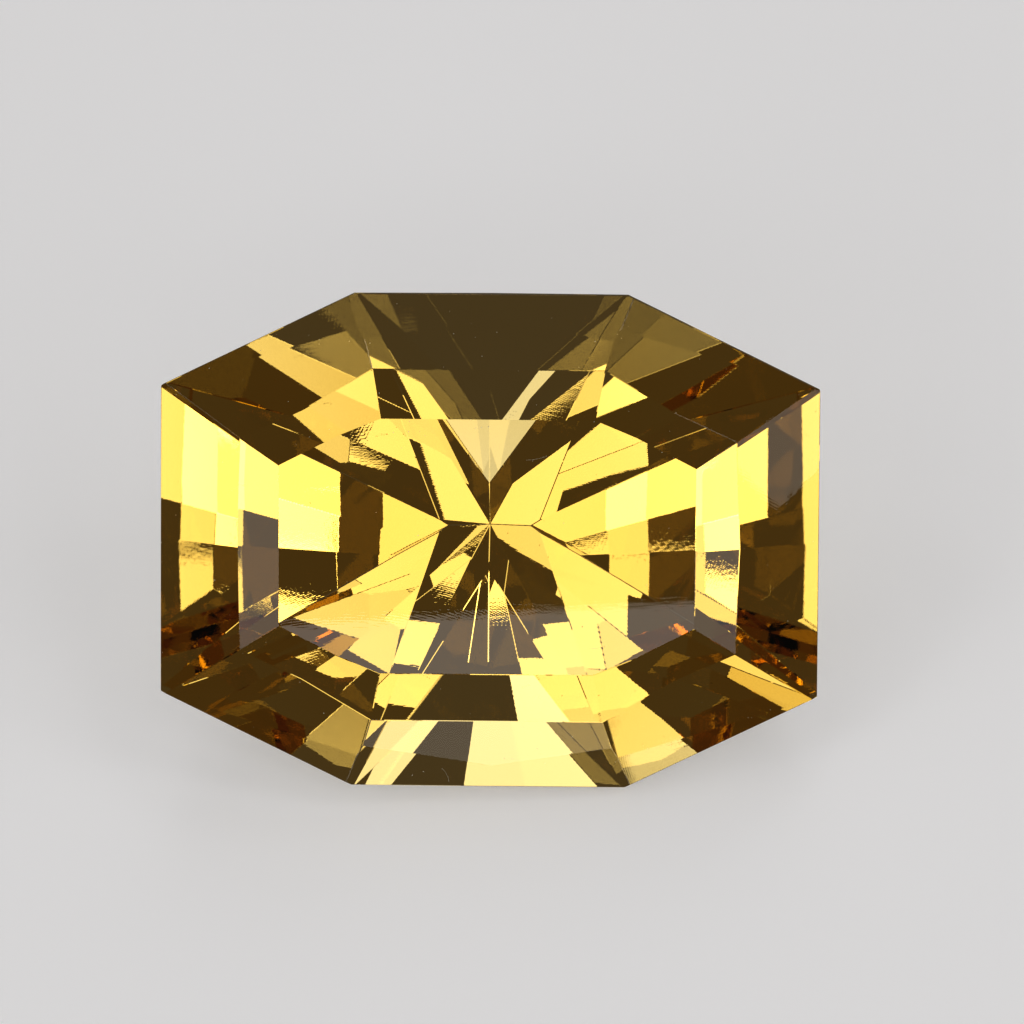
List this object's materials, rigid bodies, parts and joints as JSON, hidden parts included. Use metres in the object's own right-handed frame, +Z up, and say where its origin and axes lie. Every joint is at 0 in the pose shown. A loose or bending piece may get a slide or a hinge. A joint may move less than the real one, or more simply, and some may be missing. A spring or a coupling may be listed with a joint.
{
  "type": "faceted citrine gemstone",
  "caption": "Cut and polished citrine, an elongated octagon with a broad table, a stepped crown and a deep pavilion, lying on a pavilion facet.",
  "frame": {"origin": "middle of the bounding box's base, on the surface the stone lies on", "axes": "+X along the stone's length, +Z up, and the table looks towards -Y and up"},
  "size_m": [0.0122, 0.007, 0.0071],
  "materials": {
    "citrine": "polished, see-through golden yellow"
  },
  "bodies": {
    "root": {"gemstone": "citrine"}
  },
  "joints": []
}
